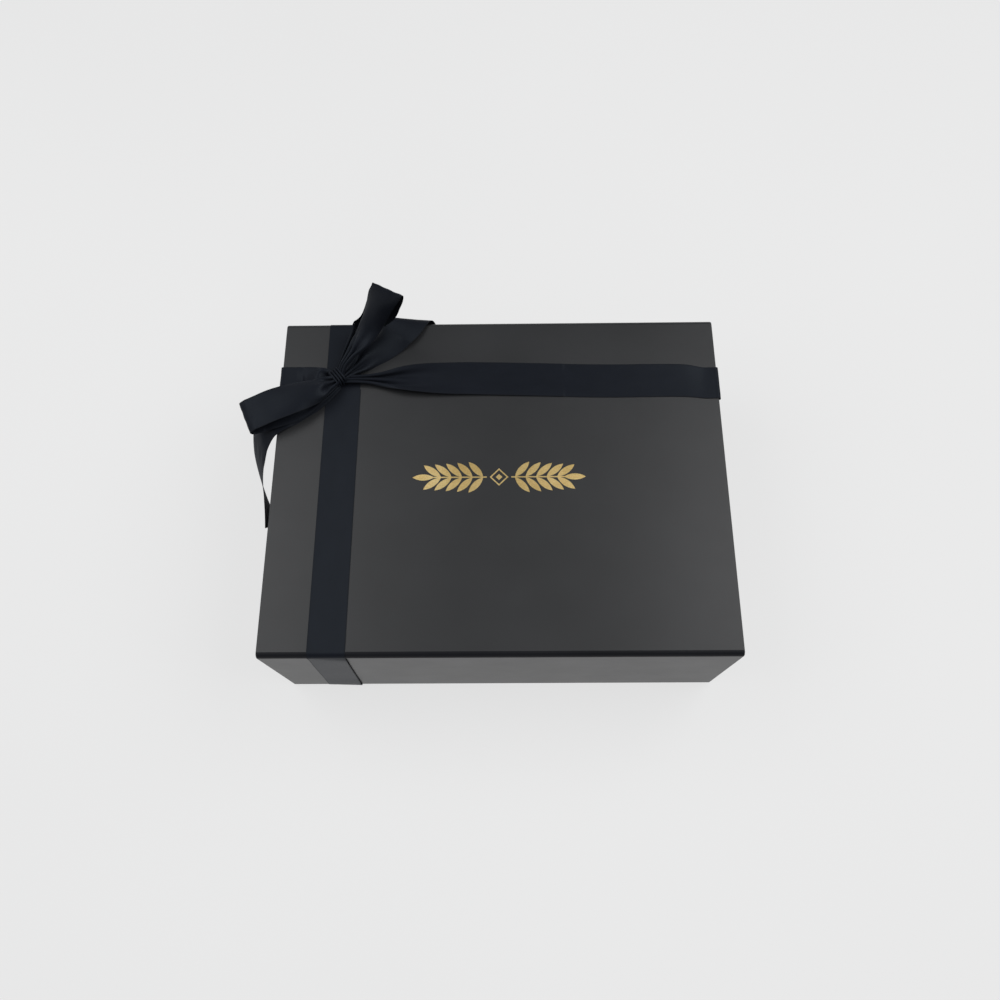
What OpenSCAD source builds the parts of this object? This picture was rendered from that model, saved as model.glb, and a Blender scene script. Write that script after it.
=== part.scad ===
// Book-style rigid gift box. A case of four covered boards (base, spine, lid and front flap)
// wraps round a glued-in tray. The lid opens on a paper hinge along the top back edge, the
// flap hangs from a second paper hinge along the top front edge and is held shut by magnets.
// A satin ribbon is tied round the box both ways and ends in a bow near the back left corner.
// Millimetres, +X right, +Y back, +Z up. The origin is on the ground under the box's centre.

/* [Box] */
// Width of the closed box, left to right
box_w = 315; // [240:1:420]
// Depth of the closed box, front to back
box_d = 249; // [200:1:340]
// Height of the closed box, from the ground to the lid's top
box_h = 110; // [85:1:180]

/* [Boards and paper] */
// Thickness of the case boards
case_board_t = 2; // [1.6:0.1:2.6]
// Thickness of the tray boards
tray_board_t = 2; // [1.6:0.1:3]
// Thickness of one layer of cover, wrap or liner paper
paper_t = 0.25; // [0.15:0.05:0.3]
// How far the case boards stand out past the tray at each side
side_overhang = 2; // [1:0.5:4]
// Margin of turned-in cover paper round a liner
turn_in = 4; // [3:0.5:8]

/* [Hinges and closing] */
// Outside radius of the paper hinges and of the folded edge at the bottom back
hinge_r = 3.6; // [3.4:0.1:5]
// Gap between the tray and the lid or flap that closes over it
closing_gap = 0.8; // [0.8:0.1:1.5]
// Height of the flap's lower edge above the ground
flap_lift = 1; // [0.9:0.1:3]
// Clearance between a soft piece and its neighbour on another body
soft_gap = 0.3; // [0.2:0.05:0.35]

/* [Magnets] */
// Diameter of the flap's magnets
magnet_d = 12; // [8:0.5:20]
// Thickness of the flap's magnets
magnet_t = 1.4; // [0.8:0.1:1.5]
// Diameter of the steel keeper discs in the tray's front wall
keeper_d = 12; // [8:0.5:20]
// Thickness of the steel keeper discs
keeper_t = 1; // [0.6:0.1:1.4]
// Radial clearance of a disc in its pocket
pocket_gap = 0.1; // [0.05:0.05:0.3]
// Distance between the two magnets
magnet_spacing = 180; // [100:1:220]
// Height of the magnets above the ground
magnet_z = 32; // [20:1:60]

/* [Ribbon] */
// Width of the ribbon
ribbon_w = 25; // [16:1:30]
// Thickness of the ribbon with its weave
ribbon_t = 0.4; // [0.3:0.05:0.45]
// Distance from the box's left edge to the middle of the lengthwise ribbon on the lid
long_inset = 46.5; // [42:0.5:60]
// How far the lengthwise ribbon drifts left on its way down the front flap
front_drift = 7; // [0:0.5:12]
// Distance from the box's back edge to the middle of the crosswise ribbon at the left end
cross_inset = 49.5; // [46:0.5:60]
// How far the crosswise ribbon drifts forward on its way to the right end
cross_drift = 3; // [0:0.5:10]
// Length of ribbon tucked round the lower edge of the flap
flap_tuck = 15; // [8:0.5:25]
// Length of ribbon tucked under the lid at each side
lid_tuck = 12; // [8:0.5:20]

/* [Bow] */
// How far left of the lengthwise ribbon's middle the knot sits
knot_shift = 4; // [0:0.5:6]
// Length of the knot
knot_l = 16; // [12:0.5:20]
// Thickness of the knot
knot_t = 8; // [6:0.5:8.5]
// Turn of the knot about the vertical
knot_turn = -52; // [-70:1:-30]

/* [Ornament] */
// Length of the foil ornament
foil_l = 120; // [80:1:134]
// Thickness of the foil layer
foil_t = 0.1; // [0.05:0.05:0.2]
// Length of one foil leaf
leaf_l = 15; // [10:0.5:18]
// Width of one foil leaf
leaf_w = 4.6; // [3:0.1:6]
// Leaves on each side of one sprig's stem
leaf_pairs = 5; // [3:1:6]
// Width of the foil stems
stem_w = 0.9; // [0.6:0.1:1.5]
// Size of the diamond in the ornament's middle, from corner to corner
diamond_l = 13; // [8:0.5:16]

/* [Hidden] */
$fn = 64;

// Colours
paper_colour = "#3a3b3d";
liner_colour = "#2c2d2f";
board_colour = "#8d8a84";
ribbon_colour = "#14171f";
foil_colour = "#c9a757";
steel_colour = "#b9bcc0";

// Stacked thicknesses
case_t = case_board_t + 2 * paper_t;
hinge_t = 2 * paper_t;
fold_lap = 0.3;

// Levels, from the ground up. The box stands on its ribbon.
base_z = ribbon_t;
tray_z = base_z + paper_t + case_board_t;
lid_z = box_h - case_t;
rim_z = lid_z - closing_gap;
crease_z = box_h - hinge_r;
fold_z = base_z + hinge_r;
floor_top = tray_z + tray_board_t;

// Planes from the middle outwards
half_w = box_w / 2;
half_d = box_d / 2;
crease_y = half_d - hinge_r;
tray_x = half_w - side_overhang;
tray_front_y = -half_d + case_t + closing_gap;
tray_back_y = half_d - paper_t - case_board_t;
wall_in_x = tray_x - paper_t - tray_board_t;
wall_in_front_y = tray_front_y + paper_t + tray_board_t;
wall_in_back_y = tray_back_y - paper_t - tray_board_t;

// The ribbons' middles
long_x = -half_w + long_inset;
cross_y_left = half_d - cross_inset;
cross_y_right = cross_y_left - cross_drift;
// How far the middle of the crosswise ribbon stands off the lid's side edge where it bends round
wrap_bulge = 1.3;
knot_x = long_x - knot_shift;
knot_y = cross_y_left;
// Angle that each hinge bend stops short by, to clear the body it doesn't belong to
bend_gap_deg = soft_gap / hinge_r * 180 / PI + 1;
tail_end_w = 23;

// Box between two corners
module block(low, high) {
    translate(low) cube(high - low);
}

// Quarter ring about a line along X, from angle_0 to angle_1, where 0 faces +Y and 90 faces +Z
module bend(radius, thick, length, angle_0 = 0, angle_1 = 90) {
    rotate([90, 0, 90])
        translate([0, 0, -length / 2])
            rotate([0, 0, angle_0])
                rotate_extrude(angle = angle_1 - angle_0)
                    translate([radius - thick, 0])
                        square([thick, length]);
}

// Disc whose axis runs along Y, from y_0 to y_1
module disc(d, x, z, y_0, y_1) {
    translate([x, y_1, z]) rotate([90, 0, 0]) cylinder(d = d, h = y_1 - y_0);
}

module at_magnets() {
    for (side = [-1, 1]) translate([side * magnet_spacing / 2, 0, 0]) children();
}

// ---- Soft strips: a ribbon swept along stations [middle, direction across, width] ----

function unit(v) = v / norm(v);

// Point at t from b to c on a smooth curve through a, b, c and d; it also mixes widths
function smooth(a, b, c, d, t) =
    0.5 * (2 * b + (c - a) * t + (2 * a - 5 * b + 4 * c - d) * t * t
           + (3 * b - a - 3 * c + d) * t * t * t);

// Stations with extra ones mixed in between, steps for each gap
function refined(list, steps) = [
    for (i = [0 : len(list) - 2], s = [0 : steps - 1])
        let (a = list[max(i - 1, 0)], b = list[i], c = list[i + 1],
             d = list[min(i + 2, len(list) - 1)], t = s / steps)
            [for (k = [0 : 2]) smooth(a[k], b[k], c[k], d[k], t)],
    list[len(list) - 1]
];

// Four corners of the strip's section at station i
function section(list, i, thick) =
    let (along = unit(list[min(i + 1, len(list) - 1)][0] - list[max(i - 1, 0)][0]),
         across = unit(list[i][1]),
         up = unit(cross(along, across)),
         half = across * list[i][2] / 2,
         lift = up * thick / 2)
        [for (k = [[-1, -1], [1, -1], [1, 1], [-1, 1]]) list[i][0] + k[0] * half + k[1] * lift];

module strip(stations, thick = ribbon_t, steps = 3) {
    list = refined(stations, steps);
    n = len(list);
    points = [for (i = [0 : n - 1]) each section(list, i, thick)];
    // Upper and lower faces are split along the same diagonal, so a twisted strip keeps its thickness
    sides = [
        for (i = [0 : n - 2], k = [0 : 3])
            let (a = 4 * i + k, b = 4 * i + (k + 1) % 4)
                each k < 2 ? [[a, b + 4, b], [a, a + 4, b + 4]] : [[a, a + 4, b], [b, a + 4, b + 4]]
    ];
    last = 4 * (n - 1);
    ends = [[0, 2, 3], [0, 1, 2], [last, last + 2, last + 1], [last, last + 3, last + 2]];
    polyhedron(points, concat(sides, ends));
}

// ---- The bow's routes. Middles are measured from the knot on the lid's top unless noted ----

function from_knot(p) = [knot_x, knot_y, box_h] + p;
function from_left_edge(p) = [-half_w, knot_y, box_h] + p;
function from_back_edge(p) = [knot_x, half_d, box_h] + p;

left_loop_route = [
    [from_knot([0, -3, 7]), [-4, 9, 0], 8],
    [from_knot([-2, -9.5, 9.5]), [-4, 10, 0], 11],
    [from_knot([-13, -14.5, 13.5]), [-6.5, 19, 0], 19.5],
    [from_knot([-26, -19, 15]), [-8.5, 22.5, 0], 24],
    [from_knot([-39, -24, 15]), [-10.5, 23, 0], ribbon_w],
    [from_knot([-51.5, -30, 13.5]), [-10.5, 23, 0], ribbon_w],
    [from_knot([-59.5, -35, 10.5]), [-10.5, 23, 0], ribbon_w],
    [from_knot([-61, -36, 7.5]), [-10.5, 23, 0], ribbon_w],
    [from_knot([-58, -35, 5.5]), [-10.5, 23, 0], ribbon_w],
    [from_knot([-45, -29.5, 5.2]), [-10, 23, 0], ribbon_w],
    [from_knot([-30, -24, 5.2]), [-9, 23, 0], 23],
    [from_knot([-15, -17, 5.2]), [-8, 20, 0], 17],
    [from_knot([-2, -6, 5]), [-4, 10, 0], 9]
];

right_loop_route = [
    [from_knot([1, 3, 7]), [6, -2, 0], 7],
    [from_knot([8, 16.5, 12]), [9, -4, -1], 10],
    [from_knot([15, 24, 18]), [12, -4, -2], 13],
    [from_knot([22, 29.5, 27]), [16, -6, -3], 17],
    [from_knot([29, 33.5, 37]), [18, -6, -2], 20],
    [from_knot([35, 36.5, 47.5]), [21, -8, -2], 23],
    [from_knot([39.5, 37.5, 55.5]), [22, -10, -1], ribbon_w],
    [from_knot([40.8, 38, 57.5]), [22, -10, -1], ribbon_w],
    [from_knot([42, 38.8, 56]), [22, -10, -1], ribbon_w],
    [from_knot([41.5, 39.5, 46]), [22, -9, -1], ribbon_w],
    [from_knot([36, 38, 32]), [20, -8, -1], 23],
    [from_knot([27, 32, 19]), [16, -8, -1], 18],
    [from_knot([15.5, 21, 9]), [11, -7, 0], 12],
    [from_knot([5, 7, 5.5]), [6, -5, 0], 8]
];

left_tail_route = [
    [from_knot([0, -3, 4]), [-5, 9, 0], 8],
    [from_knot([-5, -8, 3.6]), [-6, 10, 0], 12],
    [from_knot([-13, -13, 3.2]), [-6, 17, 0], 19],
    [from_knot([-24.5, -19.5, 2.7]), [-7, 20, 0], 24],
    [from_left_edge([6, -26.5, 2.3]), [-10, 22, -1], ribbon_w],
    [from_left_edge([-3, -33, 0.6]), [-10, 17, -8], ribbon_w],
    [from_left_edge([-9.5, -40, -5]), [-13, 8, -11], ribbon_w],
    [from_left_edge([-13, -51, -10.5]), [-10, 10, -14], ribbon_w],
    [from_left_edge([-14, -64, -16.5]), [-6, 12, -15], ribbon_w],
    [from_left_edge([-12.5, -76, -24]), [-1, 12, -16], ribbon_w],
    [from_left_edge([-11.5, -86, -32.5]), [2, 12, -16], ribbon_w],
    [from_left_edge([-10, -95, -43]), [4, 12, -15], ribbon_w],
    [from_left_edge([-9, -102, -55]), [4, 12, -14], ribbon_w]
];

right_tail_route = [
    [from_knot([2, 1, 4.5]), [-5, 8, 0], 8],
    [from_knot([11, 11.5, 3.5]), [-6, 8, 1], 10],
    [from_knot([20, 19, 3.2]), [-9, 10, 1], 14],
    [from_knot([29.5, 27, 3.2]), [-12, 13, 1], 18],
    [from_knot([39, 35, 3.4]), [-16, 14, 0], 22],
    [from_back_edge([49, -8, 3.6]), [-20, 6, 0], tail_end_w],
    [from_back_edge([51, -5, 3.3]), [-22, 0, 0], tail_end_w],
    [from_back_edge([51, -3, 3]), [-22, 0, 0], tail_end_w]
];

// The tail's end lies over the hinge and hangs down behind the box
right_tail_end_route = [
    [from_back_edge([51, -2.2, 2.6]), [-22, 0, 0], tail_end_w],
    [from_back_edge([51, 0.8, 1.8]), [-22, 0, 0], tail_end_w],
    [from_back_edge([51.4, 2.8, -1.5]), [-22, 0, 0], tail_end_w],
    [from_back_edge([53, 3, -10]), [-22, 0, -4], tail_end_w],
    [from_back_edge([56, 2.6, -22]), [-22, 0, -5], tail_end_w],
    [from_back_edge([59, 2.6, -36]), [-22, 0, -5], tail_end_w]
];

// ---- Case: base and spine ----

module base_board() {
    color(board_colour)
        block([-half_w + paper_t, tray_front_y + paper_t, base_z + paper_t],
              [half_w - paper_t, crease_y, tray_z]);
}

module spine_board() {
    color(board_colour)
        block([-half_w + paper_t, tray_back_y, fold_z],
              [half_w - paper_t, half_d - paper_t, crease_z]);
}

// Cover paper under the base, round the folded edge and up the spine, turned in at the sides.
// The flat stretches run on inside the fold by fold_lap, so that all of it is one sheet.
module base_cover_paper() {
    color(paper_colour) {
        difference() {
            block([-half_w, tray_front_y, base_z], [half_w, crease_y, tray_z + paper_t]);
            block([-half_w + paper_t, tray_front_y + paper_t, base_z + paper_t],
                  [half_w - paper_t, crease_y + 1, tray_z]);
            block([-tray_x, tray_front_y - 1, tray_z], [tray_x, crease_y + 1, tray_z + 1]);
        }
        difference() {
            block([-half_w, tray_back_y - paper_t, fold_z], [half_w, half_d, crease_z]);
            block([-half_w + paper_t, tray_back_y, fold_z - 1],
                  [half_w - paper_t, half_d - paper_t, crease_z + 1]);
            block([-tray_x, tray_back_y - 1, fold_z - 1], [tray_x, tray_back_y, crease_z + 1]);
        }
        translate([0, crease_y, fold_z]) mirror([0, 0, 1]) bend(hinge_r, hinge_t, box_w);
        block([-half_w + paper_t, crease_y - fold_lap, base_z + paper_t / 4],
              [half_w - paper_t, crease_y + fold_lap, base_z + paper_t * 3 / 4]);
        block([-half_w + paper_t, half_d - paper_t * 3 / 4, fold_z - fold_lap],
              [half_w - paper_t, half_d - paper_t / 4, fold_z + fold_lap]);
    }
}

// ---- Tray ----

module tray_floor() {
    color(board_colour)
        block([-wall_in_x, wall_in_front_y, tray_z], [wall_in_x, wall_in_back_y, floor_top]);
}

module tray_front_wall() {
    color(board_colour)
        difference() {
            block([-wall_in_x, tray_front_y + paper_t, tray_z],
                  [wall_in_x, wall_in_front_y, rim_z - paper_t]);
            at_magnets()
                disc(keeper_d + 2 * pocket_gap, 0, magnet_z,
                     tray_front_y + paper_t - 1, tray_front_y + paper_t + keeper_t);
        }
}

module tray_back_wall() {
    color(board_colour)
        block([-wall_in_x, wall_in_back_y, tray_z],
              [wall_in_x, tray_back_y - paper_t, rim_z - paper_t]);
}

module tray_side_wall(side) {
    color(board_colour)
        translate([side * (wall_in_x + tray_board_t / 2), 0, 0])
            block([-tray_board_t / 2, tray_front_y + paper_t, tray_z],
                  [tray_board_t / 2, tray_back_y - paper_t, rim_z - paper_t]);
}

module tray_left_wall() { tray_side_wall(-1); }

module tray_right_wall() { tray_side_wall(1); }

// Wrap paper over the walls' outsides and the rim
module tray_wrap_paper() {
    color(paper_colour)
        difference() {
            block([-tray_x, tray_front_y, tray_z], [tray_x, tray_back_y, rim_z]);
            block([-tray_x + paper_t, tray_front_y + paper_t, tray_z - 1],
                  [tray_x - paper_t, tray_back_y - paper_t, rim_z - paper_t]);
            block([-wall_in_x + paper_t, wall_in_front_y + paper_t, tray_z],
                  [wall_in_x - paper_t, wall_in_back_y - paper_t, rim_z + 1]);
        }
}

module tray_wall_liner() {
    color(liner_colour)
        difference() {
            block([-wall_in_x, wall_in_front_y, floor_top],
                  [wall_in_x, wall_in_back_y, rim_z - paper_t]);
            block([-wall_in_x + paper_t, wall_in_front_y + paper_t, floor_top - 1],
                  [wall_in_x - paper_t, wall_in_back_y - paper_t, rim_z]);
        }
}

module tray_floor_liner() {
    color(liner_colour)
        block([-wall_in_x + paper_t, wall_in_front_y + paper_t, floor_top],
              [wall_in_x - paper_t, wall_in_back_y - paper_t, floor_top + paper_t]);
}

module keeper_discs() {
    color(steel_colour)
        at_magnets()
            disc(keeper_d, 0, magnet_z, tray_front_y + paper_t, tray_front_y + paper_t + keeper_t);
}

// ---- Ribbon on the tray ----

module ribbon_back() {
    color(ribbon_colour)
        block([long_x - ribbon_w / 2, half_d, fold_z],
              [long_x + ribbon_w / 2, half_d + ribbon_t, crease_z]);
}

// Outline of the lengthwise ribbon under the base, slanting to meet the ribbon on the flap
module base_band_outline() {
    polygon([
        [long_x - front_drift - ribbon_w / 2, tray_front_y],
        [long_x - front_drift + ribbon_w / 2, tray_front_y],
        [long_x + ribbon_w / 2, crease_y],
        [long_x - ribbon_w / 2, crease_y]
    ]);
}

module ribbon_base_lengthwise() {
    color(ribbon_colour) {
        linear_extrude(ribbon_t) base_band_outline();
        translate([long_x, crease_y, fold_z])
            mirror([0, 0, 1]) bend(hinge_r + ribbon_t, ribbon_t, ribbon_w);
    }
}

module ribbon_base_crosswise() {
    color(ribbon_colour)
        linear_extrude(ribbon_t)
            difference() {
                polygon([
                    [-half_w, cross_y_left - ribbon_w / 2],
                    [half_w, cross_y_right - ribbon_w / 2],
                    [half_w, cross_y_right + ribbon_w / 2],
                    [-half_w, cross_y_left + ribbon_w / 2]
                ]);
                base_band_outline();
            }
}

// Ribbon from under the base up to the lid's edge, standing off the recessed tray wall
module ribbon_side(side, middle_y) {
    color(ribbon_colour)
        translate([side * (half_w + ribbon_t / 2), middle_y, 0])
            block([-ribbon_t / 2, -ribbon_w / 2, 0],
                  [ribbon_t / 2, ribbon_w / 2, lid_z - ribbon_t - soft_gap]);
}

module ribbon_left_side() { ribbon_side(-1, cross_y_left); }

module ribbon_right_side() { ribbon_side(1, cross_y_right); }

// ---- Pieces that bend at the lid's hinge ----

module rear_hinge_paper() {
    color(paper_colour)
        translate([0, crease_y, crease_z])
            bend(hinge_r, hinge_t, box_w, 0, 90 - bend_gap_deg);
}

module ribbon_rear_bend() {
    color(ribbon_colour)
        translate([long_x, crease_y, crease_z])
            bend(hinge_r + ribbon_t, ribbon_t, ribbon_w, 0, 90 - bend_gap_deg);
}

module bow_right_tail_end() {
    color(ribbon_colour) strip(right_tail_end_route);
}

// ---- Lid ----

module lid_board() {
    color(board_colour)
        block([-half_w + paper_t, -crease_y, lid_z + paper_t],
              [half_w - paper_t, crease_y, box_h - paper_t]);
}

module lid_cover_paper() {
    color(paper_colour)
        difference() {
            block([-half_w, -crease_y, lid_z], [half_w, crease_y, box_h]);
            block([-half_w + paper_t, -crease_y - 1, lid_z + paper_t],
                  [half_w - paper_t, crease_y + 1, box_h - paper_t]);
            block([-half_w + turn_in, -crease_y - 1, lid_z - 1],
                  [half_w - turn_in, crease_y + 1, lid_z + 2 * paper_t]);
        }
}

module lid_liner() {
    color(liner_colour)
        block([-half_w + turn_in, -crease_y, lid_z], [half_w - turn_in, crease_y, lid_z + paper_t]);
}

// Pointed leaf, where two circles overlap, with its base at the origin and its tip towards +X
module leaf_outline() {
    leaf_r = (leaf_l * leaf_l + leaf_w * leaf_w) / (4 * leaf_w);
    intersection() {
        translate([leaf_l / 2, leaf_r - leaf_w / 2]) circle(r = leaf_r, $fn = 128);
        translate([leaf_l / 2, -leaf_r + leaf_w / 2]) circle(r = leaf_r, $fn = 128);
    }
}

// One sprig that runs out to +X: a stem with leaves in pairs and one at its tip
module sprig_outline() {
    stem_start = diamond_l / 2 + 2;
    stem_l = foil_l / 2 - leaf_l - stem_start;
    pitch = stem_l / leaf_pairs;
    translate([stem_start, -stem_w / 2]) square([stem_l + 2, stem_w]);
    for (i = [0 : leaf_pairs - 1], side = [-1, 1])
        translate([stem_start + (i + 0.35) * pitch, side * stem_w / 4])
            rotate(side * (48 - 3 * i)) leaf_outline();
    translate([stem_start + stem_l, 0]) leaf_outline();
}

// Traditional flourish of two laurel sprigs with an open diamond between them
module foil_ornament() {
    color(foil_colour)
        translate([0, 0, box_h])
            linear_extrude(foil_t) {
                difference() {
                    rotate(45) square(diamond_l / sqrt(2), center = true);
                    rotate(45) square(diamond_l / sqrt(2) - 2 * stem_w, center = true);
                }
                rotate(45) square(diamond_l / 4, center = true);
                for (turn = [0, 180]) rotate(turn) sprig_outline();
            }
}

// ---- Ribbon on the lid ----

module ribbon_lid_lengthwise() {
    color(ribbon_colour)
        block([long_x - ribbon_w / 2, -crease_y, box_h],
              [long_x + ribbon_w / 2, crease_y, box_h + ribbon_t]);
}

// Stations that bring the crosswise ribbon round the lid's side edge, from its tuck to the top
function lid_edge_wrap(side, middle_y) = [
    for (p = [
        [-lid_tuck, lid_z - ribbon_t / 2 - 0.1],
        [-2, lid_z - ribbon_t / 2 - 0.15],
        [0.3, lid_z - ribbon_t / 2 - 0.15],
        [wrap_bulge - 0.2, lid_z + 0.5],
        [wrap_bulge, lid_z + case_t / 2],
        [wrap_bulge - 0.2, box_h - 0.4],
        [0.3, box_h + ribbon_t / 2 + 0.25],
        [-2, box_h + ribbon_t / 2 + 0.25],
        [-10, box_h + ribbon_t / 2 + 0.15]
    ]) [[side * (half_w + p[0]), middle_y, p[1]], [0, side, 0], ribbon_w]
];

module ribbon_lid_crosswise() {
    flat_z = box_h + ribbon_t / 2 + 0.15;
    over_z = box_h + 2 * ribbon_t + 0.8;
    band_left = long_x - ribbon_w / 2;
    band_right = long_x + ribbon_w / 2;
    right_route = concat(lid_edge_wrap(1, cross_y_right), [
        [[half_w / 2, cross_y_right + 0.8, flat_z], [0, 1, 0], ribbon_w],
        [[band_right + 2.8 * ribbon_w, cross_y_left, flat_z], [0, 1, 0], ribbon_w],
        [[band_right + 1.5 * ribbon_w, cross_y_left, flat_z + 0.8], [0, 1, 0], ribbon_w - 1],
        [[band_right + 14, cross_y_left, flat_z + 1], [0, 1, 0], ribbon_w - 10],
        [[band_right + 2, cross_y_left, over_z], [0, 1, 0], ribbon_w - 17],
        [[long_x, cross_y_left, over_z], [0, 1, 0], ribbon_w - 18]
    ]);
    left_route = concat(lid_edge_wrap(-1, cross_y_left), [
        [[band_left - 12, cross_y_left, flat_z], [0, -1, 0], ribbon_w],
        [[band_left - 4, cross_y_left, flat_z + 0.8], [0, -1, 0], ribbon_w - 7],
        [[knot_x - 4, cross_y_left, over_z], [0, -1, 0], ribbon_w - 17]
    ]);
    color(ribbon_colour) {
        strip(right_route);
        strip(left_route);
    }
}

// ---- Bow ----

module bow_knot() {
    color(ribbon_colour)
        translate([knot_x, knot_y, box_h + 2 * ribbon_t + knot_t / 2])
            rotate([0, 90, knot_turn]) {
                cylinder(d = knot_t, h = knot_l - knot_t, center = true);
                for (end = [-1, 1])
                    translate([0, 0, end * (knot_l - knot_t) / 2]) sphere(d = knot_t);
            }
}

module bow_left_loop() {
    color(ribbon_colour) strip(left_loop_route);
}

module bow_right_loop() {
    color(ribbon_colour) strip(right_loop_route);
}

module bow_left_tail() {
    color(ribbon_colour) strip(left_tail_route);
}

module bow_right_tail() {
    color(ribbon_colour) strip(right_tail_route);
}

// ---- Front flap ----

module front_hinge_paper() {
    color(paper_colour)
        translate([0, -crease_y, crease_z])
            mirror([0, 1, 0]) bend(hinge_r, hinge_t, box_w, bend_gap_deg, 90);
}

module flap_board() {
    pocket_y = -half_d + paper_t + case_board_t;
    color(board_colour)
        difference() {
            block([-half_w + paper_t, -half_d + paper_t, flap_lift + paper_t],
                  [half_w - paper_t, pocket_y, crease_z]);
            at_magnets()
                disc(magnet_d + 2 * pocket_gap, 0, magnet_z, pocket_y - magnet_t, pocket_y + 1);
        }
}

module flap_cover_paper() {
    flap_in_y = -half_d + case_t;
    color(paper_colour)
        difference() {
            block([-half_w, -half_d, flap_lift], [half_w, flap_in_y, crease_z]);
            block([-half_w + paper_t, -half_d + paper_t, flap_lift + paper_t],
                  [half_w - paper_t, flap_in_y - paper_t, crease_z + 1]);
            block([-half_w + turn_in, flap_in_y - 2 * paper_t, flap_lift + turn_in],
                  [half_w - turn_in, flap_in_y + 1, crease_z + 1]);
        }
}

module flap_liner() {
    flap_in_y = -half_d + case_t;
    color(liner_colour)
        block([-half_w + turn_in, flap_in_y - paper_t, flap_lift + turn_in],
              [half_w - turn_in, flap_in_y, crease_z]);
}

module flap_magnets() {
    pocket_y = -half_d + paper_t + case_board_t;
    color(steel_colour) at_magnets() disc(magnet_d, 0, magnet_z, pocket_y - magnet_t, pocket_y);
}

// Ribbon down the flap, round its lower edge and up inside it
module ribbon_flap() {
    flap_in_y = -half_d + case_t;
    foot_x = long_x - front_drift;
    color(ribbon_colour) {
        translate([0, -half_d, 0])
            rotate([90, 0, 0])
                linear_extrude(ribbon_t)
                    polygon([
                        [foot_x - ribbon_w / 2, flap_lift - ribbon_t],
                        [foot_x + ribbon_w / 2, flap_lift - ribbon_t],
                        [long_x + ribbon_w / 2, crease_z],
                        [long_x - ribbon_w / 2, crease_z]
                    ]);
        block([foot_x - ribbon_w / 2, -half_d, flap_lift - ribbon_t],
              [foot_x + ribbon_w / 2, flap_in_y, flap_lift]);
        block([foot_x - ribbon_w / 2, flap_in_y, flap_lift - ribbon_t],
              [foot_x + ribbon_w / 2, flap_in_y + ribbon_t, flap_lift + flap_tuck]);
    }
}

module ribbon_front_bend() {
    color(ribbon_colour)
        translate([long_x, -crease_y, crease_z])
            mirror([0, 1, 0]) bend(hinge_r + ribbon_t, ribbon_t, ribbon_w, bend_gap_deg, 90);
}

// ---- Assembly ----

base_board();
spine_board();
base_cover_paper();
tray_floor();
tray_front_wall();
tray_back_wall();
tray_left_wall();
tray_right_wall();
tray_wrap_paper();
tray_wall_liner();
tray_floor_liner();
keeper_discs();
ribbon_back();
ribbon_base_lengthwise();
ribbon_base_crosswise();
ribbon_left_side();
ribbon_right_side();
rear_hinge_paper();
ribbon_rear_bend();
bow_right_tail_end();
lid_board();
lid_cover_paper();
lid_liner();
foil_ornament();
ribbon_lid_lengthwise();
ribbon_lid_crosswise();
bow_knot();
bow_left_loop();
bow_right_loop();
bow_left_tail();
bow_right_tail();
front_hinge_paper();
flap_board();
flap_cover_paper();
flap_liner();
flap_magnets();
ribbon_flap();
ribbon_front_bend();
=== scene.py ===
"""Looks of a book-style gift box tied with a satin ribbon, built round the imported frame.

The frame is in metres, with +X right, +Y back and +Z up. Ribbon routes are written in millimetres.
"""

import math

import bmesh
import bpy
import numpy as np
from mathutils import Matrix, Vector, noise


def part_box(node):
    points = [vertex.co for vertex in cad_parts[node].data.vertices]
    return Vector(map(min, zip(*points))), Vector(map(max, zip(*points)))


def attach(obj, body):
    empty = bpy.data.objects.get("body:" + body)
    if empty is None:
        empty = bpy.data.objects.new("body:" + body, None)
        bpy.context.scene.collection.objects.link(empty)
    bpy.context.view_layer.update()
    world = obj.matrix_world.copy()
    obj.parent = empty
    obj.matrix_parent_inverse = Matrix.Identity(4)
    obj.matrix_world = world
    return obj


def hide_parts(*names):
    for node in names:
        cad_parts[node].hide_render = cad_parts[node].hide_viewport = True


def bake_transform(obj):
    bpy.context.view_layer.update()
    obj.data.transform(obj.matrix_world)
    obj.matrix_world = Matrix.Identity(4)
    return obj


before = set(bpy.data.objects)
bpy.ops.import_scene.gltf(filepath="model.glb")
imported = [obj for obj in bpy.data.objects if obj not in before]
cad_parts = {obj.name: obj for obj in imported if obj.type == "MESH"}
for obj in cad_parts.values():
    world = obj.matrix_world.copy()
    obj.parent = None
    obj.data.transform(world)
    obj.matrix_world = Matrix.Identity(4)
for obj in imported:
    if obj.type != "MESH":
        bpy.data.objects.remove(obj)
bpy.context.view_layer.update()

MM = 0.001

# ---- Sizes taken from the frame ----

lid_low, lid_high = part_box("lid_cover_paper")
flap_low, flap_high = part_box("flap_cover_paper")
band_low, band_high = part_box("ribbon_back")
side_low, side_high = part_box("ribbon_left_side")
right_side_low, right_side_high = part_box("ribbon_right_side")
foot_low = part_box("ribbon_flap")[0]

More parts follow.
